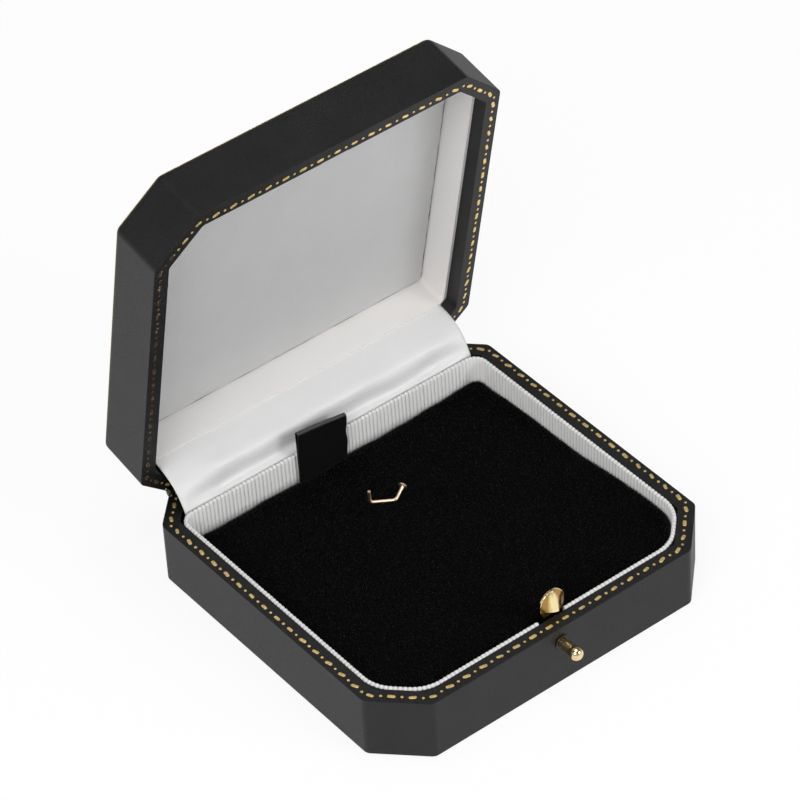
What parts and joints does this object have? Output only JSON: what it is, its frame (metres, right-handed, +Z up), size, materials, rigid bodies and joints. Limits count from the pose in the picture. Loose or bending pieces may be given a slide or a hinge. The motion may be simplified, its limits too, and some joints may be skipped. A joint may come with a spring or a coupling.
{
  "type": "pendant box",
  "caption": "Eight-sided clamshell jewellery case with a hinged padded lid, a sloped lift-out velvet pad with a pull ribbon and a pendant hook, and a push-button catch.",
  "frame": {"origin": "centre of the base's underside, where it rests", "axes": "+X to the right along the hinge, -Y towards the push button, +Z up; the lid is stored open 78 degrees"},
  "size_m": [0.086, 0.1033, 0.099],
  "materials": {
    "moulding": "black moulded, matte",
    "leatherette": "fine-grained charcoal leatherette, gold tooled line",
    "card_black": "black card",
    "card_grey": "grey card",
    "flock": "black flocked paper",
    "satin_ribbed": "white ribbed satin",
    "satin": "white satin",
    "foam": "soft foam",
    "velvet": "black velvet",
    "ribbon": "black satin ribbon",
    "gilt_wire": "polished gilt wire",
    "brass": "polished brass"
  },
  "bodies": {
    "base": {"base_shell": "moulding", "base_wrap": "leatherette", "base_sheet": "card_black", "liner_collar": "card_black", "liner_trim": "satin_ribbed", "floor_lining": "flock", "pad_riser": "card_black", "hinge_leaf_base": "brass", "hinge_rivets_base": "brass", "hinge_pin": "brass", "hinge_gusset": "satin", "button_bush": "brass", "catch_clamp": "brass", "catch_rivets": "brass"},
    "lid": {"lid_shell": "moulding", "lid_wrap": "leatherette", "lid_wall_lining": "satin", "lid_panel_board": "card_grey", "lid_panel_foam": "foam", "lid_panel_satin": "satin", "hinge_leaf_lid": "brass", "hinge_rivets_lid": "brass", "catch_keeper": "brass", "keeper_pins": "brass"},
    "button": {"push_button": "brass"},
    "catch": {"catch_tongue": "brass"},
    "pad": {"pad_board": "card_grey", "pad_foam": "foam", "pad_velvet": "velvet", "ribbon_tab": "ribbon", "pendant_hook": "gilt_wire"}
  },
  "joints": [
    {"name": "lid_hinge", "type": "hinge", "parent": "base", "child": "lid", "pos_m": [0, 0.0406, 0.0146], "axis": [-1, 0, 0], "range_deg": [-78, 8], "deforming": ["hinge_gusset"]},
    {"name": "button_push", "type": "slide", "parent": "base", "child": "button", "axis": [0, 1, 0], "range_m": [0, 0.0008], "stiffness_N_per_m": 300},
    {"name": "catch_flex", "type": "hinge", "parent": "base", "child": "catch", "pos_m": [0.0004, -0.0388, 0.0035], "axis": [-1, 0, 0], "range_deg": [0, 6.5]},
    {"name": "pad_lift", "type": "slide", "parent": "base", "child": "pad", "axis": [0, 0, 1], "range_m": [0, 0.004]}
  ],
  "couplings": [
    {"joint": "catch_flex", "follows": "button_push", "rad_per_m": 129.87}
  ]
}
